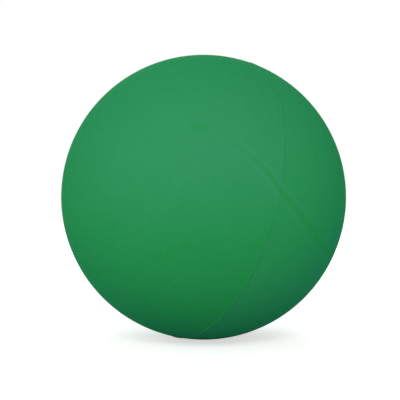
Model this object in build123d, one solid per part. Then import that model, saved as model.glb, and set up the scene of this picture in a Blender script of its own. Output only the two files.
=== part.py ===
from build123d import *

from math import atan2, cos, hypot, sin, sqrt
import os

# An inflated rubber dodgeball, 8.5 in across, in millimetres.
#
# A butyl bladder holds the air. Nylon thread is wound over it, and two cups of coloured rubber are
# cured over the thread in a two-part mould. The cups meet in a skived lap joint, and where the
# mould parts it leaves a flash line, buffed to a low ridge. The valve stands on the mould's axis: a
# flanged bush of soft rubber is bonded inside the bladder, and a self-sealing plug is pushed into
# its neck.
#
# Every piece is a turned form about the mould's axis, so each is drawn as a half section and
# revolved. Sections are drawn in mould axes: Z runs out through the valve, the mould parts at Z = 0
# and a section's points are (distance from the axis, Z). The ball is then laid as it rests, with +Z
# up, -Y towards the viewer and its centre at the origin.

# Ball and its layers
ball_diameter = 216.0
cover_thickness = 1.3
winding_thickness = 0.4
bladder_thickness = 0.9

# How the ball lies: the direction that the valve points in, in degrees
valve_azimuth = 27.0  # from +X towards +Y
valve_elevation = -14.0  # below the horizontal

# Where the two cups of the cover meet
flash_width = 2.2
flash_height = 0.28
lap_length = 3.0  # along the mould's axis, inside the right cup's edge

# Fabric patch in the winding's opening round the valve
patch_margin = 17.5  # from the neck's wall to the patch's edge

# Valve plug, from the needle's channel outwards
needle_diameter = 2.0
funnel_flare = 0.6
funnel_depth = 0.8
stem_wall = 1.3
head_overhang = 1.1  # of the head past the stem
head_thickness = 1.2
head_edge_radius = 0.3
stem_length = 13.3
barb_overhang = 0.9  # of the barb past the stem
barb_land = 0.8  # the barb's straight part, under its shoulder
barb_taper = 2.8  # the barb's cone, down to the nose
nose_diameter = 3.4
closure_length = 6.0  # of solid rubber under the channel, where the slit lies shut

# Valve bush, fitted round the plug
neck_wall = 2.1
neck_recess = 0.3  # of the neck's face below the ball's surface
neck_edge_radius = 0.3
mouth_edge_radius = 0.5  # on the cover, round the neck
pocket_clearance = 0.2  # round the barb and under its nose
tube_wall = 1.3
tube_end_wall = 1.8
tube_edge_radius = 0.9
vent_diameter = 2.4  # from the pocket into the bladder
flange_width = 13.5  # from the neck's wall to the flange's rim
flange_root_thickness = 2.4
flange_rim_thickness = 0.6
flange_root_radius = 1.6

# Radii of the spheres where the layers meet
ball_radius = ball_diameter / 2
winding_radius = ball_radius - cover_thickness
bladder_radius = winding_radius - winding_thickness
air_radius = bladder_radius - bladder_thickness

# Radii of the valve's parts about the mould's axis
needle_radius = needle_diameter / 2
funnel_radius = needle_radius + funnel_flare
nose_radius = nose_diameter / 2
stem_radius = needle_radius + stem_wall
head_radius = stem_radius + head_overhang
barb_radius = stem_radius + barb_overhang
pocket_radius = barb_radius + pocket_clearance
tube_radius = pocket_radius + tube_wall
neck_radius = head_radius + neck_wall
vent_radius = vent_diameter / 2
flange_radius = neck_radius + flange_width
patch_radius = neck_radius + patch_margin


def height_at(radius, width):
    """Height of a sphere about the centre, this far from the axis, on the valve's side."""
    return sqrt(radius**2 - width**2)


# Heights of the valve's parts on the mould's axis, from the neck's face inwards
neck_face = height_at(ball_radius, neck_radius) - neck_recess
head_seat = neck_face - head_thickness
barb_shoulder = head_seat - stem_length
barb_foot = barb_shoulder - barb_land
nose_end = barb_foot - barb_taper
channel_end = nose_end + closure_length
pocket_end = nose_end - pocket_clearance
tube_end = pocket_end - tube_end_wall

# Points that two or more sections share
flash_crest = (ball_radius + flash_height, 0)
lap_outer = (ball_radius, 0)
lap_inner = (height_at(winding_radius, lap_length), lap_length)
cover_at_neck = (neck_radius, height_at(ball_radius, neck_radius))
winding_at_neck = (neck_radius, height_at(winding_radius, neck_radius))
bladder_at_neck = (neck_radius, height_at(bladder_radius, neck_radius))
air_at_neck = (neck_radius, height_at(air_radius, neck_radius))
winding_at_patch = (patch_radius, height_at(winding_radius, patch_radius))
bladder_at_patch = (patch_radius, height_at(bladder_radius, patch_radius))


def sphere_arc(start, end):
    """Arc about the centre, between two points of one sphere."""
    radius = hypot(*start)
    middle = (atan2(*start) + atan2(*end)) / 2
    return ThreePointArc(start, (radius * sin(middle), radius * cos(middle)), end)


def flash_foot(side):
    """Where the flash rises from the ball, on one side of the parting."""
    height = side * flash_width / 2
    return (height_at(ball_radius, height), height)


def flash_arc(side):
    """Half of the flash's rounded back, square to the parting at its crest."""
    return TangentArc(flash_crest, flash_foot(side), tangent=(0, side))


def turned(*outline, rounds=()):
    """Solid turned from a closed outline, with (corner, radius) pairs rounded first."""
    section = make_face(outline)
    for corner, radius in rounds:
        section = fillet(section.vertices().sort_by_distance(corner)[0], radius)
    return revolve(Plane.XZ * section, Axis.Z, 360)


def hollow_ball(outer_radius, inner_radius, outer_edge, inner_edge):
    """Layer with a round hole on the valve's side, its wall parallel to the axis."""
    return turned(
        sphere_arc((0, -outer_radius), outer_edge),
        Line(outer_edge, inner_edge),
        sphere_arc(inner_edge, (0, -inner_radius)),
        Line((0, -inner_radius), (0, -outer_radius)),
    )


def cover_left_half():
    """The closed cup, whose edge runs in under the other's."""
    return turned(
        sphere_arc((0, -ball_radius), flash_foot(-1)),
        flash_arc(-1),
        Polyline(flash_crest, lap_outer, lap_inner),
        sphere_arc(lap_inner, (0, -winding_radius)),
        Line((0, -winding_radius), (0, -ball_radius)),
    )


def cover_right_half():
    """The cup with the valve's mouth in it."""
    return turned(
        sphere_arc(flash_foot(1), cover_at_neck),
        Line(cover_at_neck, winding_at_neck),
        sphere_arc(winding_at_neck, lap_inner),
        Polyline(lap_inner, lap_outer, flash_crest),
        flash_arc(1),
        rounds=[(cover_at_neck, mouth_edge_radius)],
    )


def thread_winding():
    """Wound thread, cured into one shell, which stops short of the valve."""
    return hollow_ball(winding_radius, bladder_radius, winding_at_patch, bladder_at_patch)


def valve_patch():
    """Disc that fills the winding's opening, flush with it, round the neck."""
    return turned(
        sphere_arc(winding_at_neck, winding_at_patch),
        Line(winding_at_patch, bladder_at_patch),
        sphere_arc(bladder_at_patch, bladder_at_neck),
        Line(bladder_at_neck, winding_at_neck),
    )


def bladder():
    return hollow_ball(bladder_radius, air_radius, bladder_at_neck, air_at_neck)


def valve_bush():
    """Neck, flange and tube in one moulding, bored in steps for the plug."""
    flange_edge = (flange_radius, height_at(air_radius, flange_radius))
    rim_radius = air_radius - flange_rim_thickness
    rim_share = rim_radius / air_radius
    flange_rim = (flange_edge[0] * rim_share, flange_edge[1] * rim_share)
    flange_root = (tube_radius, height_at(air_radius - flange_root_thickness, tube_radius))
    neck_edge = (neck_radius, neck_face)
    tube_edge = (tube_radius, tube_end)
    return turned(
        Polyline((head_radius, neck_face), neck_edge, air_at_neck),
        sphere_arc(air_at_neck, flange_edge),
        Line(flange_edge, flange_rim),
        Line(flange_rim, flange_root),
        Polyline(flange_root, tube_edge, (vent_radius, tube_end), (vent_radius, pocket_end)),
        Polyline((vent_radius, pocket_end), (pocket_radius, pocket_end), (pocket_radius, barb_shoulder)),
        Polyline((pocket_radius, barb_shoulder), (stem_radius, barb_shoulder), (stem_radius, head_seat)),
        Polyline((stem_radius, head_seat), (head_radius, head_seat), (head_radius, neck_face)),
        rounds=[
            (neck_edge, neck_edge_radius),
            (flange_root, flange_root_radius),
            (tube_edge, tube_edge_radius),
        ],
    )


def valve_plug():
    """Head, stem and barb, with a blind channel for the needle."""
    head_edge = (head_radius, neck_face)
    funnel_foot = (needle_radius, neck_face - funnel_depth)
    return turned(
        Polyline((funnel_radius, neck_face), head_edge, (head_radius, head_seat)),
        Polyline((head_radius, head_seat), (stem_radius, head_seat), (stem_radius, barb_shoulder)),
        Polyline((stem_radius, barb_shoulder), (barb_radius, barb_shoulder), (barb_radius, barb_foot)),
        Polyline((barb_radius, barb_foot), (nose_radius, nose_end), (0, nose_end), (0, channel_end)),
        Polyline((0, channel_end), (needle_radius, channel_end), funnel_foot, (funnel_radius, neck_face)),
        rounds=[(head_edge, head_edge_radius)],
    )


pieces = {
    "cover_left_half": cover_left_half(),
    "cover_right_half": cover_right_half(),
    "thread_winding": thread_winding(),
    "valve_patch": valve_patch(),
    "bladder": bladder(),
    "valve_bush": valve_bush(),
    "valve_plug": valve_plug(),
}

# The mould's axis tips down from the vertical to the valve's direction, then swings round to it
resting = Rotation(Z=valve_azimuth) * Rotation(Y=90 - valve_elevation)

os.makedirs("parts", exist_ok=True)
for name, piece in pieces.items():
    export_step(resting * piece, f"parts/{name}.step")
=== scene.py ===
from math import asin, atan2, cos, hypot, pi, radians, sin, sqrt

import bpy
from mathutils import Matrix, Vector


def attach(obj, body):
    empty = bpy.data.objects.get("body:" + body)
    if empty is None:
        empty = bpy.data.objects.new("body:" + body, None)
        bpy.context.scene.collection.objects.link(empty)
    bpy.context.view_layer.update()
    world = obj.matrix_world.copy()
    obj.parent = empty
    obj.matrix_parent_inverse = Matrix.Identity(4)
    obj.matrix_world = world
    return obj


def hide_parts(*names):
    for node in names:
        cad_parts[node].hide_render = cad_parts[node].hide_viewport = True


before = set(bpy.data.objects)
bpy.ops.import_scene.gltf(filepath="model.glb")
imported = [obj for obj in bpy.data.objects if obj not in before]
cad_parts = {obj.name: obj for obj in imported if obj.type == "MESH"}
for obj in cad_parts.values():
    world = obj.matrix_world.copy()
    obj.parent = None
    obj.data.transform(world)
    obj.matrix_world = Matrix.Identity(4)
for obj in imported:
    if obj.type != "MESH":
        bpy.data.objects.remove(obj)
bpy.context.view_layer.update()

# An inflated rubber dodgeball at rest. The cover's two halves are turned by Geometry Nodes from
# half sections, with the mould's flash between them and a rub mark across the front. Every
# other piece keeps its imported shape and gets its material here.

mm = 0.001
ballRadius = 108 * mm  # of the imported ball
usualNoise = (0.3, 0.7)  # nearly all of a noise's values lie between these

scene = bpy.context.scene
scene.view_settings.view_transform = "Standard"


# Helpers

def hexColour(code):
    # sRGB hex to the linear colour that a socket takes
    parts = [int(code[i:i + 2], 16) / 255 for i in (0, 2, 4)]
    linear = [p / 12.92 if p <= 0.04045 else ((p + 0.055) / 1.055) ** 2.4 for p in parts]
    return (*linear, 1.0)


def addNode(tree, kind, links=None, **settings):
    # a node with its settings, and each socket given a value or joined to an output
    node = tree.nodes.new(kind)
    for name, value in settings.items():
        setattr(node, name, value)
    for socket, source in (links or {}).items():
        if isinstance(source, bpy.types.NodeSocket):
            tree.links.new(source, node.inputs[socket])
        else:
            node.inputs[socket].default_value = source
    return node


def newMaterial(name):
    # an empty material with its node tree
    material = bpy.data.materials.new(name)
    material.use_nodes = True
    material.node_tree.nodes.clear()
    return material, material.node_tree


def shapeCurve(node, points):
    # bends a Float Curve node's line through the points, and gives what comes out
    curve = node.mapping.curves[0]
    while len(curve.points) < len(points):
        curve.points.new(0.5, 0.5)
    for point, place in zip(curve.points, points):
        point.location = place
    node.mapping.update()
    return node.outputs[0]


def waveScale(gap):
    # what a Wave node's scale has to be for this gap between its crests
    return 2 * pi / (20 * gap)


def shownWhite(tree):
    # 1 where the white room is looked at, also in a gloss or through glass, and 0 where it lights
    rays = addNode(tree, "ShaderNodeLightPath").outputs
    glossyOrThrough = addNode(tree, "ShaderNodeMath", {
        0: rays["Is Glossy Ray"], 1: rays["Is Transmission Ray"],
    }, operation="ADD").outputs[0]
    return addNode(tree, "ShaderNodeMath", {
        0: rays["Is Camera Ray"], 1: glossyOrThrough,
    }, operation="ADD", use_clamp=True).outputs[0]


def seenFrom(azimuth, elevation, radius=1.0):
    # a place on the ball, in degrees round from the viewer and up from the middle
    a, e = radians(azimuth), radians(elevation)
    return Vector((sin(a) * cos(e), -cos(a) * cos(e), sin(e))) * radius


# Camera, level with the ball's middle

cameraSettings = {
    "distance": 659 * mm,
    "lens": 77.2,
    "shiftX": -0.009,  # the ball stands a little off the picture's middle
    "shiftY": -0.007,
}

cameraData = bpy.data.cameras.new("camera")
cameraData.lens = cameraSettings["lens"]
cameraData.shift_x = cameraSettings["shiftX"]
cameraData.shift_y = cameraSettings["shiftY"]
camera = bpy.data.objects.new("camera", cameraData)
camera.location = (0, -cameraSettings["distance"], 0)
camera.rotation_euler = (radians(90), 0, 0)
scene.collection.objects.link(camera)
scene.camera = camera
print("camera set")


# Soft studio light: square panels all round, a little stronger from the front left

lightSettings = {
    "distance": 1.5,  # in metres from the ball's middle
    "wattsPerShare": 19.6,
    "panels": [  # azimuth, elevation, side in metres, share
        (5, 30, 0.5, 0.33),
        (-15, 30, 0.5, 0.13),
        (0, 15, 1.0, 0.19),
        (-45, 15, 1.0, 0.07),
        (-90, 15, 1.0, 0.25),
        (90, 15, 1.0, 0.11),
        (70, 40, 1.0, 0.06),
        (-130, 30, 1.0, 0.11),
        (180, 45, 1.0, 0.43),
        (0, 88, 1.0, 0.04),
    ],
    "roomLight": 0.29,  # from the room's white walls
}

for number, (azimuth, elevation, side, share) in enumerate(lightSettings["panels"], 1):
    panelData = bpy.data.lights.new(f"panel{number}", "AREA")
    panelData.shape = "SQUARE"
    panelData.size = side
    panelData.energy = lightSettings["wattsPerShare"] * share
    panel = bpy.data.objects.new(f"panel{number}", panelData)
    panel.location = seenFrom(azimuth, elevation, lightSettings["distance"])
    panel.rotation_euler = (-panel.location).to_track_quat("-Z", "Y").to_euler()
    scene.collection.objects.link(panel)

world = bpy.data.worlds.new("whiteRoom")
world.use_nodes = True
worldTree = world.node_tree
worldTree.nodes.clear()
roomStrength = addNode(worldTree, "ShaderNodeMapRange", {
    "Value": shownWhite(worldTree),
    "To Min": lightSettings["roomLight"],
    "To Max": 1.0,
})
roomWhite = addNode(worldTree, "ShaderNodeBackground", {
    "Color": (1, 1, 1, 1),
    "Strength": roomStrength.outputs["Result"],
})
addNode(worldTree, "ShaderNodeOutputWorld", {"Surface": roomWhite.outputs[0]})
scene.world = world
print("lights set")


# Floor: a pale sheet that looks white, and keeps the ball's shadow round where it stands

floorSettings = {
    "height": -ballRadius,
    "side": 12.0,
    "colour": "DADADA",
    "whiteNear": 0.62,  # added under and near the ball, where the panels light the sheet
    "whiteFar": 1.0,
    "nearEdge": 0.25,  # in metres from the ball's middle
    "farEdge": 0.9,
}

floorMesh = bpy.data.meshes.new("floor")
half = floorSettings["side"] / 2
corners = [(-half, -half), (half, -half), (half, half), (-half, half)]
floorMesh.from_pydata([(x, y, floorSettings["height"]) for x, y in corners], [], [(0, 1, 2, 3)])
floor = bpy.data.objects.new("floor", floorMesh)
scene.collection.objects.link(floor)

floorMaterial, tree = newMaterial("studioSheet")
place = addNode(tree, "ShaderNodeTexCoord")
fromBall = addNode(tree, "ShaderNodeVectorMath", {0: place.outputs["Object"]}, operation="LENGTH")
added = addNode(tree, "ShaderNodeMapRange", {
    "Value": fromBall.outputs["Value"],
    "From Min": floorSettings["nearEdge"],
    "From Max": floorSettings["farEdge"],
    "To Min": floorSettings["whiteNear"],
    "To Max": floorSettings["whiteFar"],
}, interpolation_type="SMOOTHSTEP")
strength = addNode(tree, "ShaderNodeMath", {
    0: added.outputs["Result"],
    1: shownWhite(tree),
}, operation="MULTIPLY")
paper = addNode(tree, "ShaderNodeBsdfDiffuse", {"Color": hexColour(floorSettings["colour"])})
white = addNode(tree, "ShaderNodeEmission", {
    "Color": (1, 1, 1, 1),
    "Strength": strength.outputs[0],
})
both = addNode(tree, "ShaderNodeAddShader", {0: paper.outputs[0], 1: white.outputs[0]})
addNode(tree, "ShaderNodeOutputMaterial", {"Surface": both.outputs[0]})
floorMesh.materials.append(floorMaterial)
print("floor laid")


# Cover rubber: natural rubber, moulded and cured against a blasted steel mould. It is matt, with
# a cool sheen painted into its colour as a highlight, a cool tint painted as shade low down, and
# deeper green where the rub mark takes the painted sheen away.

coverRubberSettings = {
    "colour": "218D49",
    # painted highlight: a cool sheen over the green
    "paintedSheenColour": "318C5C",
    "paintedSheenUpLeft": [  # share of the painted sheen, from the ball's foot at 0 to its top at 1
        (0.0, 0.0), (0.08, 0.12), (0.2, 0.14), (0.35, 0.2), (0.4, 0.31), (0.45, 0.48), (0.5, 0.65),
        (0.55, 0.76), (0.62, 0.93), (0.75, 0.93), (0.85, 1.0), (0.92, 0.81), (1.0, 0.3),
    ],
    "paintedSheenUpRight": [
        (0.0, 0.86), (0.15, 0.62), (0.25, 0.47), (0.35, 0.36), (0.42, 0.38), (0.5, 0.49),
        (0.6, 0.62), (0.68, 0.77), (0.75, 0.87), (0.85, 0.92), (1.0, 0.92),
    ],
    "paintedSheenRound": [  # from the back of the ball at 0, past its side at 0.5, to its front at 1
        (0.0, 0.25), (0.56, 0.25), (0.62, 0.35), (0.68, 0.44), (0.75, 0.54), (0.82, 0.61),
        (0.9, 0.82), (0.95, 0.94), (1.0, 1.0),
    ],
    "paintedShadeColour": "1F865C",  # painted shade: a cool tint, fullest at the ball's foot and round its sides, none at its front
    "paintedShadeUpLeft": [
        (0.0, 1.0), (0.08, 0.74), (0.15, 0.53), (0.3, 0.31), (0.35, 0.28), (0.4, 0.17),
        (0.45, 0.04), (0.5, 0.04), (0.55, 0.12), (0.68, 0.18), (0.85, 0.31), (1.0, 0.38),
    ],
    "paintedShadeUpRight": [
        (0.0, 0.91), (0.15, 0.79), (0.3, 0.72), (0.35, 0.8), (0.4, 0.68), (0.45, 0.5),
        (0.5, 0.32), (0.55, 0.23), (0.68, 0.2), (0.85, 0.3), (1.0, 0.37),
    ],
    "paintedShadeRound": [
        (0.0, 0.45), (0.54, 0.5), (0.62, 0.7), (0.68, 1.0), (0.75, 0.75), (0.82, 0.44),
        (0.9, 0.12), (0.95, 0.0), (1.0, 0.0),
    ],
    "paintedSheenSpots": [  # patches and specks: size, change of the painted sheen's share, detail, roughness
        (30 * mm, 0.06, 2.0, 0.5),
        (4 * mm, 0.1, 3.0, 0.6),
    ],
    # rub mark, measured across in shares of its own half width
    # the deeper green of the rub mark and of the strips beside the flash; on the right strip it is
    # painted shade
    "rubbedAndShadedColour": "1D8B3B",
    "rubDepth": 0.7,
    "rubFull": 0.2,
    "rubEnd": 1.2,
    "lipHighlightColour": "398F66",  # painted highlight along the mark's raised sides
    "lipHighlightDepth": 0.32,
    "lipHighlightMiddle": 1.85,
    "lipHighlightFull": 0.1,
    "lipHighlightEnd": 1.1,
    "crestHighlightColour": "3A9073",  # painted highlight, paler along the flash's crest
    "crestHighlightDepth": 0.46,
    "crestHighlightWidth": 2.6 * mm,
    "crestHighlightMiddle": 0.4 * mm,  # from the parting, towards the right cup
    # a deeper green strip along each side of the flash; the right one is painted shade beside its
    # crest
    "stripAndShadeDepth": 0.5,
    "stripAndShadeWidth": 3.4 * mm,
    "stripAndShadeMiddle": -0.4 * mm,
    "stripAndShadeApart": 1.9 * mm,  # of each strip from that middle
    "shadedStripOnRight": 0.4,  # of the right strip against the left
    "roughness": 0.9,
    "roughnessChange": 0.05,  # either way, with the grain
    "ior": 1.52,
    "specularLevel": 0.01,
    "grainSize": 2.4 * mm,  # the mould's blasted finish, drawn coarse enough to show
    "grainDepth": 0.25 * mm,
    "grainShade": 0.014,  # lighter and darker grains, as the finish catches dust
    "pebbleSize": 8 * mm,
    "pebbleDepth": 0.5 * mm,
}


def makeCoverRubber(settings):
    material, tree = newMaterial("mouldedNaturalRubber")
    place = addNode(tree, "ShaderNodeTexCoord").outputs["Object"]

    # the place's height and how far forward it lies, each as a share of the ball
    split = addNode(tree, "ShaderNodeSeparateXYZ", {0: place}).outputs
    upward, forward = [
        addNode(tree, "ShaderNodeMapRange", {
            "Value": split[axis],
            "From Min": start,
            "From Max": -start,
        }).outputs["Result"]
        for axis, start in (("Z", -ballRadius), ("Y", ballRadius))
    ]

    # what the cups' trees have marked on each point
    marks = {
        name: addNode(tree, "ShaderNodeAttribute", attribute_name=name).outputs["Fac"]
        for name in (
            "fromParting", "buffedShare", "wipedShare", "rubAcross", "rubDepth", "rubEdge",
        )
    }
    aside = marks["fromParting"]
    onRight = addNode(tree, "ShaderNodeMath", {
        0: aside,
        1: 0.0,
    }, operation="GREATER_THAN").outputs[0]

    def paintedLightShare(leftCurve, rightCurve, roundCurve):
        # how strong a painted light lies, used for the painted sheen and for the painted shade: by
        # cup and height, and by how far round from the front
        left, right, around = [
            shapeCurve(addNode(tree, "ShaderNodeFloatCurve", {"Value": value}), curve)
            for value, curve in ((upward, leftCurve), (upward, rightCurve), (forward, roundCurve))
        ]
        onCup = addNode(tree, "ShaderNodeMix", {
            "Factor": onRight,
            "A": left,
            "B": right,
        }, data_type="FLOAT")
        return addNode(tree, "ShaderNodeMath", {
            0: onCup.outputs[0],
            1: around,
        }, operation="MULTIPLY").outputs[0]

    def stripShare(value, middle, full, end, depth):
        # a strip as deep as given out to where it is full, and faded away to nothing at its end
        gap = addNode(tree, "ShaderNodeMath", {0: value, 1: middle}, operation="SUBTRACT")
        distance = addNode(tree, "ShaderNodeMath", {0: gap.outputs[0]}, operation="ABSOLUTE")
        return addNode(tree, "ShaderNodeMapRange", {
            "Value": distance.outputs[0],
            "From Min": full,
            "From Max": end,
            "To Min": depth,
            "To Max": 0.0,
        }, interpolation_type="SMOOTHSTEP").outputs["Result"]

    def tinted(under, colour, *shares):
        # a colour over the one under it, as strong as its shares together
        strength = shares[0]
        for share in shares[1:]:
            strength = addNode(tree, "ShaderNodeMath", {
                0: strength,
                1: share,
            }, operation="MULTIPLY").outputs[0]
        return addNode(tree, "ShaderNodeMix", {
            "Factor": strength,
            "A": under,
            "B": hexColour(colour),
        }, data_type="RGBA").outputs[2]

    # painted highlight: a cool sheen, fullest high up, thin at the left cup's foot and at the
    # back, and a little patchy
    paintedSheen = paintedLightShare(settings["paintedSheenUpLeft"], settings["paintedSheenUpRight"], settings["paintedSheenRound"])
    for size, change, detail, fineness in settings["paintedSheenSpots"]:
        spots = addNode(tree, "ShaderNodeTexNoise", {
            "Vector": place,
            "Scale": 1 / size,
            "Detail": detail,
            "Roughness": fineness,
        })
        uneven = addNode(tree, "ShaderNodeMapRange", {
            "Value": spots.outputs["Fac"],
            "From Min": usualNoise[0],
            "From Max": usualNoise[1],
            "To Min": -change,
            "To Max": change,
        })
        paintedSheen = addNode(tree, "ShaderNodeMath", {
            0: paintedSheen,
            1: uneven.outputs["Result"],
        }, operation="ADD").outputs[0]
    withPaintedSheen = tinted(hexColour(settings["colour"]), settings["paintedSheenColour"], paintedSheen)

    # painted shade: a cooler tint, with its own places
    paintedShade = paintedLightShare(settings["paintedShadeUpLeft"], settings["paintedShadeUpRight"], settings["paintedShadeRound"])
    colour = tinted(withPaintedSheen, settings["paintedShadeColour"], paintedShade)

    # rub mark: rubbed clean along its middle, with a painted highlight along both its raised sides
    across = addNode(tree, "ShaderNodeMath", {
        0: marks["rubAcross"],
    }, operation="ABSOLUTE").outputs[0]
    paintedLipHighlight = stripShare(
        across, settings["lipHighlightMiddle"], settings["lipHighlightFull"], settings["lipHighlightEnd"], 1.0)
    rubbedOff = stripShare(across, 0.0, settings["rubFull"], settings["rubEnd"], 1.0)
    colour = tinted(
        colour, settings["lipHighlightColour"], marks["rubEdge"], settings["lipHighlightDepth"], paintedLipHighlight)
    colour = tinted(
        colour, settings["rubbedAndShadedColour"], marks["rubDepth"], settings["rubDepth"], rubbedOff)

    # flash: a painted highlight along its crest, and a deeper green strip on both sides of it, the
    # right one painted shade
    fromMiddle = addNode(tree, "ShaderNodeMath", {
        0: aside,
        1: settings["stripAndShadeMiddle"],
    }, operation="SUBTRACT")
    eitherSide = addNode(tree, "ShaderNodeMath", {
        0: fromMiddle.outputs[0],
    }, operation="ABSOLUTE").outputs[0]
    halfStripAndShade = settings["stripAndShadeWidth"] / 2
    stripsAndShade = stripShare(
        eitherSide, settings["stripAndShadeApart"], 0.0, halfStripAndShade, settings["stripAndShadeDepth"])
    stripAndShadeSide = addNode(tree, "ShaderNodeMapRange", {
        "Value": onRight,
        "To Min": 1.0,
        "To Max": settings["shadedStripOnRight"],
    }).outputs["Result"]
    # the right strip is painted shade beside the flash's crest
    colour = tinted(colour, settings["rubbedAndShadedColour"], stripAndShadeSide, marks["wipedShare"], stripsAndShade)
    halfCrestHighlight = settings["crestHighlightWidth"] / 2
    crestHighlight = stripShare(
        aside, settings["crestHighlightMiddle"], halfCrestHighlight / 3, halfCrestHighlight, settings["crestHighlightDepth"])
    colour = tinted(colour, settings["crestHighlightColour"], crestHighlight, marks["buffedShare"])

    # mould finish
    grain = addNode(tree, "ShaderNodeTexNoise", {
        "Vector": place,
        "Scale": 1 / settings["grainSize"],
        "Detail": 3.0,
        "Roughness": 0.55,
    })
    pebbles = addNode(tree, "ShaderNodeTexNoise", {
        "Vector": place,
        "Scale": 1 / settings["pebbleSize"],
        "Detail": 1.0,
    })
    grainValue = addNode(tree, "ShaderNodeMapRange", {
        "Value": grain.outputs["Fac"],
        "From Min": usualNoise[0],
        "From Max": usualNoise[1],
        "To Min": 1 - settings["grainShade"],
        "To Max": 1 + settings["grainShade"],
    })
    grained = addNode(tree, "ShaderNodeHueSaturation", {
        "Color": colour,
        "Value": grainValue.outputs["Result"],
    })
    slowBump = addNode(tree, "ShaderNodeBump", {
        "Height": pebbles.outputs["Fac"],
        "Distance": settings["pebbleDepth"],
    })
    fineBump = addNode(tree, "ShaderNodeBump", {
        "Height": grain.outputs["Fac"],
        "Distance": settings["grainDepth"],
        "Normal": slowBump.outputs["Normal"],
    })
    roughness = addNode(tree, "ShaderNodeMapRange", {
        "Value": grain.outputs["Fac"],
        "To Min": settings["roughness"] - settings["roughnessChange"],
        "To Max": settings["roughness"] + settings["roughnessChange"],
    })

    surface = addNode(tree, "ShaderNodeBsdfPrincipled", {
        "Base Color": grained.outputs["Color"],
        "Roughness": roughness.outputs["Result"],
        "IOR": settings["ior"],
        "Specular IOR Level": settings["specularLevel"],
        "Normal": fineBump.outputs["Normal"],
    })
    addNode(tree, "ShaderNodeOutputMaterial", {"Surface": surface.outputs[0]})
    return material


coverRubber = makeCoverRubber(coverRubberSettings)
print("cover rubber mixed")


# Cover halves: half sections, turned about the mould's axis and laid as the ball rests

coverSettings = {
    "outerRadius": 107.98 * mm,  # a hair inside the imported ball
    "innerRadius": 106.7 * mm,
    "flashWidth": 2.2 * mm,
    "flashHeight": 0.28 * mm,
    "lapLength": 3.0 * mm,
    "mouthRadius": 5.5 * mm,
    "mouthRounding": 0.5 * mm,
    "mouthRows": 6,
    "valveAzimuth": 27.0,  # from +X towards +Y, in degrees
    "valveElevation": -14.0,
    "columns": 360,
    "outerRows": 110,
    "innerRows": 40,
    "flashRows": 8,  # on each side of the parting
    "seamWidth": 0.002 * mm,  # points closer than this are made one, where the turn ends
    "sharpAngle": 35.0,  # edges past this many degrees stay crisp
    "proudHeight": 0.14 * mm,  # of the closed cup's edge, whose mould shut a little wide
    "proudReach": 6.0 * mm,
    "proudRows": 8,
    "flashWander": 0.14 * mm,  # how far the line strays from a true circle
    "wanderScale": 3.5,  # a higher one strays more often
    "wanderSpread": (0.25, 0.75),  # values of its noise that stray all the way
    "flashBend": 1.5 * mm,  # its slow bend towards either cup
    "bendReach": 10.0 * mm,  # how far from the line the cover's surface follows its bends
    "flashChange": 0.25,  # share of its height that comes and goes
    "changeScale": 14.0,  # a higher one changes more often
    "flashSeed": 4.0,
    # curves round the line from the ball's foot, over the back, the top and the front
    "bendAround": [  # 0.5 is none
        (0.0, 0.5), (0.54, 0.5), (0.62, 0.27), (0.68, 0.09), (0.71, 0.1), (0.74, 0.23),
        (0.78, 0.25), (0.81, 0.32), (0.84, 0.43), (0.88, 0.37), (0.91, 0.5), (0.94, 0.55),
        (0.98, 0.5), (1.0, 0.5),
    ],
    "swellAround": [  # 0.5 is the flash's own height, and 1 twice that
        (0.0, 0.5), (0.58, 0.55), (0.62, 0.7), (0.65, 0.5), (0.67, 0.38), (0.7, 0.5), (0.72, 0.35),
        (0.745, 0.2), (0.76, 0.5), (0.778, 0.8), (0.797, 0.6), (0.818, 0.6), (0.84, 0.68),
        (0.863, 0.45), (0.887, 0.45), (0.9, 0.9), (0.92, 1.0), (0.95, 1.0), (1.0, 0.5),
    ],
    "crestHighlightAround": [  # share of the painted highlight along the flash's crest
        (0.0, 0.25), (0.6, 0.12), (0.65, 0.09), (0.675, 0.28), (0.7, 0.28), (0.72, 0.4),
        (0.74, 0.31), (0.757, 0.31), (0.78, 0.28), (0.797, 0.19), (0.818, 0.16), (0.84, 0.22),
        (0.863, 0.19), (0.888, 0.25), (0.907, 1.0), (0.95, 1.0), (1.0, 0.25),
    ],
    "stripAndShadeAround": [  # share of the deeper green strips on both sides of it, the right one painted shade
        (0.0, 0.3), (0.58, 0.6), (0.62, 0.85), (0.65, 0.85), (0.675, 0.4), (0.698, 0.4),
        (0.718, 0.0), (0.738, 0.2), (0.757, 0.22), (0.778, 0.28), (0.797, 0.5), (0.818, 0.8),
        (0.84, 1.0), (0.863, 0.6), (0.892, 0.35), (0.915, 0.9), (0.95, 0.5), (1.0, 0.3),
    ],
}

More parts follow.
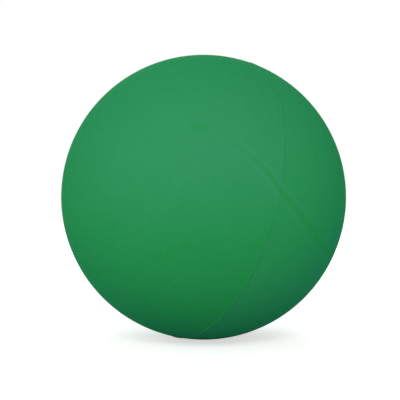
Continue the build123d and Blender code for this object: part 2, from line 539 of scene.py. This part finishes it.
rubSettings = {
    # the mark's middle line, in degrees round from the viewer and up
    "path": [
        (-6.8, 24.9), (-3.2, 25.5), (0.0, 25.6), (3.0, 25.2), (5.6, 23.8), (9.9, 20.2),
        (14.3, 16.5), (18.7, 13.0), (22.6, 9.0), (26.4, 4.6), (30.4, 0.1), (35.0, -4.3),
        (40.0, -9.1), (46.5, -14.1), (56.8, -19.3), (68.6, -22.3), (82.3, -23.4), (94.0, -23.1),
    ],
    "samples": 900,
    "width": 8.0 * mm,  # from its middle to its edge, where widthAlong is 1
    "fullReach": 8.0 * mm,  # its depth holds this far from its middle line, then fades away
    "endReach": 14.0 * mm,
    # curves from the mark's start at 0 to its end at 1, out of sight
    "widthAlong": [
        (0.0, 0.2), (0.03, 0.5), (0.06, 0.38), (0.09, 0.25), (0.15, 0.32), (0.22, 0.24),
        (0.36, 0.25), (0.44, 0.27), (0.52, 0.3), (0.6, 0.38), (0.71, 0.33), (1.0, 0.3),
    ],
    "depthAlong": [
        (0.0, 0.0), (0.015, 0.13), (0.035, 0.42), (0.06, 0.22), (0.09, 0.1), (0.15, 0.14),
        (0.22, 0.2), (0.295, 0.42), (0.36, 0.54), (0.44, 0.4), (0.52, 0.57), (0.6, 0.82),
        (0.71, 0.55), (0.8, 0.5), (1.0, 0.0),
    ],
    "lipHighlightAlong": [
        (0.0, 0.0), (0.06, 0.05), (0.09, 0.2), (0.15, 0.4), (0.2, 0.85), (0.25, 1.0),
        (0.33, 0.88), (0.4, 0.68), (0.48, 0.48), (0.56, 0.32), (0.62, 0.15), (0.71, 0.15),
        (0.85, 0.0), (1.0, 0.0),
    ],
}


def spherePoint(radius, angle):
    # on a half section: the angle runs from the valve's end of the axis
    return (radius * sin(angle), radius * cos(angle))


def sphereRun(radius, start, end, rows):
    # points of an arc about the middle, ends included
    return [spherePoint(radius, start + (end - start) * i / rows) for i in range(rows + 1)]


def flashRun(settings, side):
    # from the flash's foot to its crest, square to the parting there
    outer, half = settings["outerRadius"], settings["flashWidth"] / 2
    crest = outer + settings["flashHeight"]
    rise = crest - sqrt(outer ** 2 - half ** 2)
    bend = (rise ** 2 + half ** 2) / (2 * rise)  # radius of its rounded back
    sweep = asin(half / bend)
    rows = settings["flashRows"]
    turns = [sweep * (1 - i / rows) for i in range(rows + 1)]
    return [(crest - bend * (1 - cos(t)), side * bend * sin(t)) for t in turns]


def liftProud(point, settings):
    # out to the proud edge's slope, where the flash isn't already past it
    radius = hypot(*point)
    lift = settings["proudHeight"] * (1 - abs(point[1]) / settings["proudReach"]) ** 2
    scale = max(radius, settings["outerRadius"] + lift) / radius
    return (point[0] * scale, point[1] * scale)


def coverSection(settings, side):
    # outline of one half, with the rubber on the same hand all along, so that its faces look out
    outer, inner = settings["outerRadius"], settings["innerRadius"]
    flash = flashRun(settings, side)
    footAngle = atan2(*flash[0])
    lapInner = (sqrt(inner ** 2 - settings["lapLength"] ** 2), settings["lapLength"])
    lapOuter = (outer, 0.0)
    lap = [flash[-1], lapOuter, lapInner]
    if side < 0:
        reachAngle = atan2(outer, -settings["proudReach"])
        outside = sphereRun(outer, pi, reachAngle, settings["outerRows"])
        shoulder = sphereRun(outer, reachAngle, footAngle, settings["proudRows"])
        raised = [liftProud(point, settings) for point in shoulder[1:] + flash[1:-1]]
        inside = sphereRun(inner, atan2(*lapInner), pi, settings["innerRows"])
        return outside + raised + lap + inside[1:]
    # the mouth's rounded edge, from its straight wall up to the ball
    mouth, rounding = settings["mouthRadius"], settings["mouthRounding"]
    middle = (mouth + rounding, sqrt((outer - rounding) ** 2 - (mouth + rounding) ** 2))
    lean = atan2(*middle)
    steps = settings["mouthRows"]
    edge = [
        (middle[0] - rounding * cos(t), middle[1] + rounding * sin(t))
        for t in [(pi / 2 - lean) * i / steps for i in range(steps)]
    ]
    outside = sphereRun(outer, lean, footAngle, settings["outerRows"])
    inside = sphereRun(inner, atan2(*lapInner), asin(mouth / inner), settings["innerRows"])
    wall = [inside[-1], edge[0]]
    return (edge + outside + flash[1:-1] + lap + inside[1:-1] + wall)[::-1]


def markSection(name, points, settings):
    # the outline as a line of vertices, with how much each follows the flash's changes
    mesh = bpy.data.meshes.new(name)
    edges = [(i, i + 1) for i in range(len(points) - 1)]
    mesh.from_pydata([(r, 0, h) for r, h in points], edges, [])
    wander = mesh.attributes.new("wander", "FLOAT", "POINT")
    rise = mesh.attributes.new("rise", "FLOAT", "POINT")
    skin = 0.2 * mm  # points within this of the ball's surface are its outside
    for i, (r, h) in enumerate(points):
        above = hypot(r, h) - settings["outerRadius"]
        follows = max(0.0, 1 - abs(h) / settings["bendReach"]) ** 2
        wander.data[i].value = follows if above > -skin else 0.0
        rise.data[i].value = max(0.0, above)
    section = bpy.data.objects.new(name, mesh)
    scene.collection.objects.link(section)
    return section


def layRub(settings, radius):
    # the rub mark's middle line, as a smooth curve on the ball
    data = bpy.data.curves.new("rubLine", "CURVE")
    data.dimensions = "3D"
    spline = data.splines.new("NURBS")
    spline.points.add(len(settings["path"]) - 1)
    for point, (azimuth, elevation) in zip(spline.points, settings["path"]):
        point.co = (*seenFrom(azimuth, elevation, radius), 1)
    spline.order_u = 3
    spline.use_endpoint_u = True
    spline.resolution_u = 24
    line = bpy.data.objects.new("rubLine", data)
    scene.collection.objects.link(line)
    return line


def markRub(tree, given, where, shape, rub):
    # stores on each point how far across the rub mark it lies, how strong the mark is there, and
    # how strong the painted highlight along its sides is

    # the nearest point of the mark's line, and how far to the side of it
    line = addNode(tree, "GeometryNodeObjectInfo", {"Object": given["Rub Line"]})
    dots = addNode(tree, "GeometryNodeCurveToPoints", {
        "Curve": line.outputs["Geometry"], "Count": given["Rub Samples"],
    }, mode="COUNT").outputs
    nearest = addNode(tree, "GeometryNodeSampleNearest", {
        "Geometry": dots["Points"],
    }, domain="POINT").outputs[0]
    dot, along = [
        addNode(tree, "GeometryNodeSampleIndex", {
            "Geometry": dots["Points"], "Value": value, "Index": nearest,
        }, data_type="FLOAT_VECTOR").outputs[0]
        for value in (where, dots["Tangent"])
    ]
    outward = addNode(tree, "ShaderNodeVectorMath", {0: dot}, operation="NORMALIZE")
    sideways = addNode(tree, "ShaderNodeVectorMath", {
        0: outward.outputs[0], 1: along,
    }, operation="CROSS_PRODUCT")
    apart = addNode(tree, "ShaderNodeVectorMath", {0: where, 1: dot}, operation="SUBTRACT")
    offset = addNode(tree, "ShaderNodeVectorMath", {
        0: apart.outputs[0], 1: sideways.outputs[0],
    }, operation="DOT_PRODUCT")
    distance = addNode(tree, "ShaderNodeVectorMath", {0: apart.outputs[0]}, operation="LENGTH")

    # the mark's width, depth and painted side highlights there
    progress = addNode(tree, "ShaderNodeMath", {
        0: nearest, 1: given["Rub Samples"],
    }, operation="DIVIDE").outputs[0]
    width, deep, lipHighlightHere = [
        shapeCurve(addNode(tree, "ShaderNodeFloatCurve", {"Value": progress}), rub[curve])
        for curve in ("widthAlong", "depthAlong", "lipHighlightAlong")
    ]
    fullWidth = addNode(tree, "ShaderNodeMath", {
        0: width, 1: given["Rub Width"],
    }, operation="MULTIPLY")
    shareAcross = addNode(tree, "ShaderNodeMath", {
        0: offset.outputs["Value"], 1: fullWidth.outputs[0],
    }, operation="DIVIDE")
    near = addNode(tree, "ShaderNodeMapRange", {
        "Value": distance.outputs["Value"],
        "From Min": given["Rub Full Reach"], "From Max": given["Rub End Reach"],
        "To Min": 1.0, "To Max": 0.0,
    }, interpolation_type="SMOOTHSTEP").outputs["Result"]
    # edge is the strength of the painted highlight along the mark's sides
    depth, edge = [
        addNode(tree, "ShaderNodeMath", {0: value, 1: near}, operation="MULTIPLY")
        for value in (deep, lipHighlightHere)
    ]
    for name, value in (("rubAcross", shareAcross), ("rubDepth", depth), ("rubEdge", edge)):
        shape = addNode(tree, "GeometryNodeStoreNamedAttribute", {
            "Geometry": shape.outputs[0], "Name": name, "Value": value.outputs[0],
        }, data_type="FLOAT", domain="POINT")
    return shape


def turnedCoverTree(cover, rub):
    # turns a section about its axis, bends the flash, lays the cup down and marks it
    tree = bpy.data.node_groups.new("turnedCover", "GeometryNodeTree")
    sockets = [
        ("Section", "NodeSocketGeometry"),
        ("Columns", "NodeSocketInt"),
        ("Attitude", "NodeSocketVector"),
        ("Seam Width", "NodeSocketFloat"),
        ("Sharp Angle", "NodeSocketFloat"),
        ("Flash Wander", "NodeSocketFloat"),
        ("Wander Scale", "NodeSocketFloat"),
        ("Flash Bend", "NodeSocketFloat"),
        ("Flash Change", "NodeSocketFloat"),
        ("Change Scale", "NodeSocketFloat"),
        ("Flash Seed", "NodeSocketFloat"),
        ("Rub Line", "NodeSocketObject"),
        ("Rub Samples", "NodeSocketInt"),
        ("Rub Width", "NodeSocketFloat"),
        ("Rub Full Reach", "NodeSocketFloat"),
        ("Rub End Reach", "NodeSocketFloat"),
        ("Material", "NodeSocketMaterial"),
    ]
    for name, kind in sockets:
        tree.interface.new_socket(name, in_out="INPUT", socket_type=kind)
    tree.interface.new_socket("Cover", in_out="OUTPUT", socket_type="NodeSocketGeometry")
    given = addNode(tree, "NodeGroupInput").outputs

    # a grid with one line of vertices for each row of the section
    size = addNode(tree, "GeometryNodeAttributeDomainSize", {"Geometry": given["Section"]})
    rows = size.outputs["Point Count"]
    lines = addNode(tree, "ShaderNodeMath", {0: given["Columns"], 1: 1.0}, operation="ADD")
    grid = addNode(tree, "GeometryNodeMeshGrid", {
        "Vertices X": lines.outputs[0],
        "Vertices Y": rows,
    })
    index = addNode(tree, "GeometryNodeInputIndex").outputs[0]
    row = addNode(tree, "ShaderNodeMath", {0: index, 1: rows}, operation="MODULO").outputs[0]
    share = addNode(tree, "ShaderNodeMath", {0: index, 1: rows}, operation="DIVIDE")
    column = addNode(tree, "ShaderNodeMath", {0: share.outputs[0]}, operation="FLOOR").outputs[0]
    part = addNode(tree, "ShaderNodeMath", {
        0: column, 1: given["Columns"],
    }, operation="DIVIDE").outputs[0]
    angle = addNode(tree, "ShaderNodeMath", {0: part, 1: 2 * pi}, operation="MULTIPLY").outputs[0]
    east = addNode(tree, "ShaderNodeMath", {0: angle}, operation="COSINE").outputs[0]
    north = addNode(tree, "ShaderNodeMath", {0: angle}, operation="SINE").outputs[0]
    direction = addNode(tree, "ShaderNodeCombineXYZ", {"X": east, "Y": north}).outputs[0]

    # the section's point for this row, and how much it follows the flash's changes
    where = addNode(tree, "GeometryNodeInputPosition").outputs[0]
    point = addNode(tree, "GeometryNodeSampleIndex", {
        "Geometry": given["Section"], "Value": where, "Index": row,
    }, data_type="FLOAT_VECTOR")
    split = addNode(tree, "ShaderNodeSeparateXYZ", {0: point.outputs[0]}).outputs
    follows = {}
    for name in ("wander", "rise"):
        stored = addNode(tree, "GeometryNodeInputNamedAttribute", {
            "Name": name,
        }, data_type="FLOAT")
        follows[name] = addNode(tree, "GeometryNodeSampleIndex", {
            "Geometry": given["Section"], "Value": stored.outputs[0], "Index": row,
        }, data_type="FLOAT").outputs[0]

    # what is drawn round the line: its bend, its height, its painted crest highlight, and the
    # strips beside it, the right one painted shade
    bent, swollen, crestHighlight, stripsAndShade = [
        shapeCurve(addNode(tree, "ShaderNodeFloatCurve", {"Value": part}), cover[curve])
        for curve in ("bendAround", "swellAround", "crestHighlightAround", "stripAndShadeAround")
    ]

    # the flash strays and thickens slowly round the ball
    stray = addNode(tree, "ShaderNodeTexNoise", {
        "Vector": direction, "W": given["Flash Seed"], "Scale": given["Wander Scale"],
        "Detail": 2.0,
    }, noise_dimensions="4D")
    strayEven = addNode(tree, "ShaderNodeMapRange", {
        "Value": stray.outputs["Fac"],
        "From Min": cover["wanderSpread"][0], "From Max": cover["wanderSpread"][1],
        "To Min": -1.0, "To Max": 1.0,
    })
    bentEven = addNode(tree, "ShaderNodeMapRange", {
        "Value": bent, "To Min": -1.0, "To Max": 1.0,
    })
    bend = addNode(tree, "ShaderNodeMath", {
        0: bentEven.outputs[0], 1: given["Flash Bend"],
    }, operation="MULTIPLY")
    aside = addNode(tree, "ShaderNodeMath", {
        0: strayEven.outputs[0], 1: given["Flash Wander"], 2: bend.outputs[0],
    }, operation="MULTIPLY_ADD")
    height = addNode(tree, "ShaderNodeMath", {
        0: aside.outputs[0], 1: follows["wander"], 2: split["Z"],
    }, operation="MULTIPLY_ADD")
    swell = addNode(tree, "ShaderNodeTexNoise", {
        "Vector": direction, "W": given["Flash Seed"], "Scale": given["Change Scale"],
        "Detail": 2.0,
    }, noise_dimensions="4D")
    swellDown = addNode(tree, "ShaderNodeMapRange", {
        "Value": swell.outputs["Fac"], "From Min": usualNoise[0], "From Max": usualNoise[1],
        "To Min": -1.0, "To Max": 0.0,
    })
    swollenEven = addNode(tree, "ShaderNodeMapRange", {
        "Value": swollen, "To Min": -1.0, "To Max": 1.0,
    })
    higher = addNode(tree, "ShaderNodeMath", {
        0: swellDown.outputs[0], 1: given["Flash Change"], 2: swollenEven.outputs[0],
    }, operation="MULTIPLY_ADD")
    reach = addNode(tree, "ShaderNodeMath", {
        0: higher.outputs[0], 1: follows["rise"], 2: split["X"],
    }, operation="MULTIPLY_ADD")
    outX = addNode(tree, "ShaderNodeMath", {0: reach.outputs[0], 1: east}, operation="MULTIPLY")
    outY = addNode(tree, "ShaderNodeMath", {0: reach.outputs[0], 1: north}, operation="MULTIPLY")
    turned = addNode(tree, "ShaderNodeCombineXYZ", {
        "X": outX.outputs[0], "Y": outY.outputs[0], "Z": height.outputs[0],
    })
    placed = addNode(tree, "GeometryNodeSetPosition", {
        "Geometry": grid.outputs["Mesh"], "Position": turned.outputs[0],
    })

    # marks for the material, taken before the seam is closed
    marked = placed
    for name, value in (
        ("fromParting", split["Z"]), ("buffedShare", crestHighlight), ("wipedShare", stripsAndShade),
    ):
        marked = addNode(tree, "GeometryNodeStoreNamedAttribute", {
            "Geometry": marked.outputs[0], "Name": name, "Value": value,
        }, data_type="FLOAT", domain="POINT")
    closed = addNode(tree, "GeometryNodeMergeByDistance", {
        "Geometry": marked.outputs[0], "Distance": given["Seam Width"],
    })
    laid = addNode(tree, "GeometryNodeTransform", {
        "Geometry": closed.outputs[0], "Rotation": given["Attitude"],
    })

    rubbed = markRub(tree, given, where, laid, rub)

    # smooth, but for the parting, the lap and the mouth's inner corners
    corner = addNode(tree, "GeometryNodeInputMeshEdgeAngle").outputs["Unsigned Angle"]
    sharp = addNode(tree, "ShaderNodeMath", {
        0: corner, 1: given["Sharp Angle"],
    }, operation="GREATER_THAN")
    smooth = addNode(tree, "GeometryNodeSetShadeSmooth", {
        "Geometry": rubbed.outputs[0], "Shade Smooth": True,
    }, domain="FACE")
    crisp = addNode(tree, "GeometryNodeSetShadeSmooth", {
        "Geometry": smooth.outputs[0], "Selection": sharp.outputs[0], "Shade Smooth": False,
    }, domain="EDGE")
    real = addNode(tree, "GeometryNodeRealizeInstances", {"Geometry": crisp.outputs[0]})
    painted = addNode(tree, "GeometryNodeSetMaterial", {
        "Geometry": real.outputs[0], "Material": given["Material"],
    })
    addNode(tree, "NodeGroupOutput", {"Cover": painted.outputs[0]})
    return tree


def runTree(section, tree, values, name):
    # the modifier's result as a plain mesh, at the origin
    modifier = section.modifiers.new("turn", "NODES")
    modifier.node_group = tree
    for item in tree.interface.items_tree:
        if item.item_type == "SOCKET" and item.in_out == "INPUT" and item.name in values:
            modifier[item.identifier] = values[item.name]
    graph = bpy.context.evaluated_depsgraph_get()
    mesh = bpy.data.meshes.new_from_object(section.evaluated_get(graph), depsgraph=graph)
    mesh.name = name
    section.modifiers.remove(modifier)
    piece = bpy.data.objects.new(name, mesh)
    scene.collection.objects.link(piece)
    bpy.data.objects.remove(section)
    return piece


rubLine = layRub(rubSettings, coverSettings["outerRadius"])
coverTree = turnedCoverTree(coverSettings, rubSettings)
coverValues = {
    "Columns": coverSettings["columns"],
    "Attitude": (
        0, radians(90 - coverSettings["valveElevation"]), radians(coverSettings["valveAzimuth"])),
    "Seam Width": coverSettings["seamWidth"],
    "Sharp Angle": radians(coverSettings["sharpAngle"]),
    "Flash Wander": coverSettings["flashWander"],
    "Wander Scale": coverSettings["wanderScale"],
    "Flash Bend": coverSettings["flashBend"],
    "Flash Change": coverSettings["flashChange"],
    "Change Scale": coverSettings["changeScale"],
    "Flash Seed": coverSettings["flashSeed"],
    "Rub Line": rubLine,
    "Rub Samples": rubSettings["samples"],
    "Rub Width": rubSettings["width"],
    "Rub Full Reach": rubSettings["fullReach"],
    "Rub End Reach": rubSettings["endReach"],
    "Material": coverRubber,
}
for name, node, side in (("leftCup", "cover_left_half", -1), ("rightCup", "cover_right_half", 1)):
    outline = coverSection(coverSettings, side)
    section = markSection(name + "Section", outline, coverSettings)
    cup = runTree(section, coverTree, coverValues, name)
    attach(cup, "root")
    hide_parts(node)
    print(name, "turned,", len(cup.data.polygons), "faces")
bpy.data.objects.remove(rubLine)


# Valve and lining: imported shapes, each with the finish of its own stuff

def dress(node, material):
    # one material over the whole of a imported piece
    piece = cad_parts[node]
    slots = piece.material_slots
    if not slots:
        piece.data.materials.append(material)
    for slot in slots:
        slot.material = material


bushRubberSettings = {
    "colour": "1D1E20",
    "dust": "3E3F40",
    "cleanRoughness": 0.52,
    "dustyRoughness": 0.72,
    "ior": 1.52,
    "specularLevel": 0.3,
    "grainSize": 0.7 * mm,  # drawn coarse enough to show
    "grainDepth": 0.09 * mm,
    "dustSize": 1.8 * mm,
    "dustSpread": (0.42, 0.7),  # values of its noise that give no dust, and all of it
}


def makeBushRubber(settings):
    # soft black rubber, compression moulded: a close, dull skin with a little dust in it
    material, tree = newMaterial("mouldedBlackRubber")
    place = addNode(tree, "ShaderNodeTexCoord").outputs["Object"]
    grain = addNode(tree, "ShaderNodeTexNoise", {
        "Vector": place, "Scale": 1 / settings["grainSize"], "Detail": 4.0,
    })
    dust = addNode(tree, "ShaderNodeTexNoise", {
        "Vector": place, "Scale": 1 / settings["dustSize"], "Detail": 3.0, "Roughness": 0.6,
    })
    dusty = addNode(tree, "ShaderNodeMapRange", {
        "Value": dust.outputs["Fac"],
        "From Min": settings["dustSpread"][0],
        "From Max": settings["dustSpread"][1],
    })
    colour = addNode(tree, "ShaderNodeMix", {
        "Factor": dusty.outputs["Result"],
        "A": hexColour(settings["colour"]),
        "B": hexColour(settings["dust"]),
    }, data_type="RGBA")
    bump = addNode(tree, "ShaderNodeBump", {
        "Height": grain.outputs["Fac"], "Distance": settings["grainDepth"],
    })
    roughness = addNode(tree, "ShaderNodeMapRange", {
        "Value": dust.outputs["Fac"],
        "To Min": settings["cleanRoughness"],
        "To Max": settings["dustyRoughness"],
    })
    surface = addNode(tree, "ShaderNodeBsdfPrincipled", {
        "Base Color": colour.outputs[2],
        "Roughness": roughness.outputs["Result"],
        "IOR": settings["ior"],
        "Specular IOR Level": settings["specularLevel"],
        "Normal": bump.outputs["Normal"],
    })
    addNode(tree, "ShaderNodeOutputMaterial", {"Surface": surface.outputs[0]})
    return material


plugRubberSettings = {
    "colour": "232426",
    "smear": "131415",
    "dryRoughness": 0.48,
    "oiledRoughness": 0.24,
    "ior": 1.50,
    "specularLevel": 0.35,
    "smearSize": 1.8 * mm,
    "ringGap": 0.5 * mm,  # turning marks of the plug's mould
    "ringDepth": 0.02 * mm,
}


def makePlugRubber(settings):
    # self-sealing plug rubber, wiped with oil: darker and glossier than the bush
    material, tree = newMaterial("oiledPlugRubber")
    place = addNode(tree, "ShaderNodeTexCoord").outputs["Object"]
    # the plug's own axis, brought upright
    swungBack = addNode(tree, "ShaderNodeVectorRotate", {
        "Vector": place,
        "Axis": (0, 0, 1),
        "Angle": -radians(coverSettings["valveAzimuth"]),
    }, rotation_type="AXIS_ANGLE")
    upright = addNode(tree, "ShaderNodeVectorRotate", {
        "Vector": swungBack.outputs[0],
        "Rotation": (0, radians(coverSettings["valveElevation"] - 90), 0),
    }, rotation_type="EULER_XYZ")
    rings = addNode(tree, "ShaderNodeTexWave", {
        "Vector": upright.outputs[0],
        "Scale": waveScale(settings["ringGap"]),
        "Distortion": 0.4,
        "Detail": 1.0,
    }, wave_type="RINGS", rings_direction="Z")
    smears = addNode(tree, "ShaderNodeTexNoise", {
        "Vector": place, "Scale": 1 / settings["smearSize"], "Detail": 3.0, "Roughness": 0.6,
    })
    colour = addNode(tree, "ShaderNodeMix", {
        "Factor": smears.outputs["Fac"],
        "A": hexColour(settings["colour"]),
        "B": hexColour(settings["smear"]),
    }, data_type="RGBA")
    roughness = addNode(tree, "ShaderNodeMapRange", {
        "Value": smears.outputs["Fac"],
        "To Min": settings["dryRoughness"],
        "To Max": settings["oiledRoughness"],
    })
    bump = addNode(tree, "ShaderNodeBump", {
        "Height": rings.outputs["Fac"], "Distance": settings["ringDepth"],
    })
    surface = addNode(tree, "ShaderNodeBsdfPrincipled", {
        "Base Color": colour.outputs[2],
        "Roughness": roughness.outputs["Result"],
        "IOR": settings["ior"],
        "Specular IOR Level": settings["specularLevel"],
        "Normal": bump.outputs["Normal"],
    })
    addNode(tree, "ShaderNodeOutputMaterial", {"Surface": surface.outputs[0]})
    return material


bladderRubberSettings = {
    "colour": "1D1D1F",
    "talc": "4A4A4C",
    "roughness": 0.62,
    "ior": 1.52,
    "talcSize": 9 * mm,
    "talcSpread": (0.48, 0.8),  # values of its noise that give no talc, and all of it
    "skinSize": 3 * mm,
    "skinDepth": 0.05 * mm,
}


def makeBladderRubber(settings):
    # butyl rubber, blown in its mould and dusted with talc: dead black with pale clouds
    material, tree = newMaterial("blownButylRubber")
    place = addNode(tree, "ShaderNodeTexCoord").outputs["Object"]
    talc = addNode(tree, "ShaderNodeTexNoise", {
        "Vector": place, "Scale": 1 / settings["talcSize"], "Detail": 5.0, "Roughness": 0.65,
    })
    powdered = addNode(tree, "ShaderNodeMapRange", {
        "Value": talc.outputs["Fac"],
        "From Min": settings["talcSpread"][0],
        "From Max": settings["talcSpread"][1],
    })
    colour = addNode(tree, "ShaderNodeMix", {
        "Factor": powdered.outputs["Result"],
        "A": hexColour(settings["colour"]),
        "B": hexColour(settings["talc"]),
    }, data_type="RGBA")
    skin = addNode(tree, "ShaderNodeTexNoise", {
        "Vector": place, "Scale": 1 / settings["skinSize"], "Detail": 3.0,
    })
    bump = addNode(tree, "ShaderNodeBump", {
        "Height": skin.outputs["Fac"], "Distance": settings["skinDepth"],
    })
    surface = addNode(tree, "ShaderNodeBsdfPrincipled", {
        "Base Color": colour.outputs[2],
        "Roughness": settings["roughness"],
        "IOR": settings["ior"],
        "Normal": bump.outputs["Normal"],
    })
    addNode(tree, "ShaderNodeOutputMaterial", {"Surface": surface.outputs[0]})
    return material


threadSettings = {
    "colour": "E4E1D6",
    # painted shade in the grooves between the turns
    "gap": "A9A493",
    "roughness": 0.55,
    "ior": 1.53,
    "pitch": 0.6 * mm,  # between neighbouring turns
    "depth": 0.12 * mm,
    "blend": 0.25,  # how softly the layers run into one another
    "turns": [(0, 0, 0), (62, 15, 0), (118, 0, 40), (30, 75, 20)],  # each layer's lie, in degrees
}


def makeThread(settings):
    # nylon thread wound in crossing layers: rows of pale, faintly glossy turns, with painted shade
    # in the grooves between them
    material, tree = newMaterial("woundNylonThread")
    place = addNode(tree, "ShaderNodeTexCoord").outputs["Object"]
    height = None
    for turn in settings["turns"]:
        lie = addNode(tree, "ShaderNodeVectorRotate", {
            "Vector": place, "Rotation": tuple(radians(t) for t in turn),
        }, rotation_type="EULER_XYZ")
        rows = addNode(tree, "ShaderNodeTexWave", {
            "Vector": lie.outputs[0],
            "Scale": waveScale(settings["pitch"]),
            "Distortion": 1.5,
            "Detail": 1.0,
            "Detail Scale": 0.4,
        }, wave_type="BANDS", bands_direction="X")
        if height is None:
            height = rows.outputs["Fac"]
        else:
            height = addNode(tree, "ShaderNodeMath", {
                0: height, 1: rows.outputs["Fac"], 2: settings["blend"],
            }, operation="SMOOTH_MAX").outputs[0]
    colour = addNode(tree, "ShaderNodeMix", {
        "Factor": height,
        "A": hexColour(settings["gap"]),
        "B": hexColour(settings["colour"]),
    }, data_type="RGBA")
    bump = addNode(tree, "ShaderNodeBump", {"Height": height, "Distance": settings["depth"]})
    surface = addNode(tree, "ShaderNodeBsdfPrincipled", {
        "Base Color": colour.outputs[2],
        "Roughness": settings["roughness"],
        "IOR": settings["ior"],
        "Normal": bump.outputs["Normal"],
    })
    addNode(tree, "ShaderNodeOutputMaterial", {"Surface": surface.outputs[0]})
    return material


patchSettings = {
    "warp": "948C7B",
    "weft": "7C7565",
    "gap": "4C473D",
    "roughness": 0.8,
    "ior": 1.5,
    "pitch": 0.9 * mm,
    "depth": 0.1 * mm,
    "blend": 0.3,  # how softly the yarns run into one another
}


def makePatch(settings):
    # cotton duck, frictioned with rubber: a plain weave, dull and slightly filled
    material, tree = newMaterial("rubberedCottonDuck")
    place = addNode(tree, "ShaderNodeTexCoord").outputs["Object"]
    warp, weft = [
        addNode(tree, "ShaderNodeTexWave", {
            "Vector": place,
            "Scale": waveScale(settings["pitch"]),
            "Distortion": 0.6,
            "Detail Scale": 0.5,
        }, wave_type="BANDS", bands_direction=direction).outputs["Fac"]
        for direction in ("Y", "Z")
    ]
    height = addNode(tree, "ShaderNodeMath", {
        0: warp, 1: weft, 2: settings["blend"],
    }, operation="SMOOTH_MAX")
    over = addNode(tree, "ShaderNodeMath", {0: warp, 1: weft}, operation="GREATER_THAN")
    yarn = addNode(tree, "ShaderNodeMix", {
        "Factor": over.outputs[0],
        "A": hexColour(settings["weft"]),
        "B": hexColour(settings["warp"]),
    }, data_type="RGBA")
    colour = addNode(tree, "ShaderNodeMix", {
        "Factor": height.outputs[0],
        "A": hexColour(settings["gap"]),
        "B": yarn.outputs[2],
    }, data_type="RGBA")
    bump = addNode(tree, "ShaderNodeBump", {
        "Height": height.outputs[0], "Distance": settings["depth"],
    })
    surface = addNode(tree, "ShaderNodeBsdfPrincipled", {
        "Base Color": colour.outputs[2],
        "Roughness": settings["roughness"],
        "IOR": settings["ior"],
        "Normal": bump.outputs["Normal"],
    })
    addNode(tree, "ShaderNodeOutputMaterial", {"Surface": surface.outputs[0]})
    return material


dress("valve_bush", makeBushRubber(bushRubberSettings))
dress("valve_plug", makePlugRubber(plugRubberSettings))
dress("bladder", makeBladderRubber(bladderRubberSettings))
dress("thread_winding", makeThread(threadSettings))
dress("valve_patch", makePatch(patchSettings))
print("valve and lining dressed")
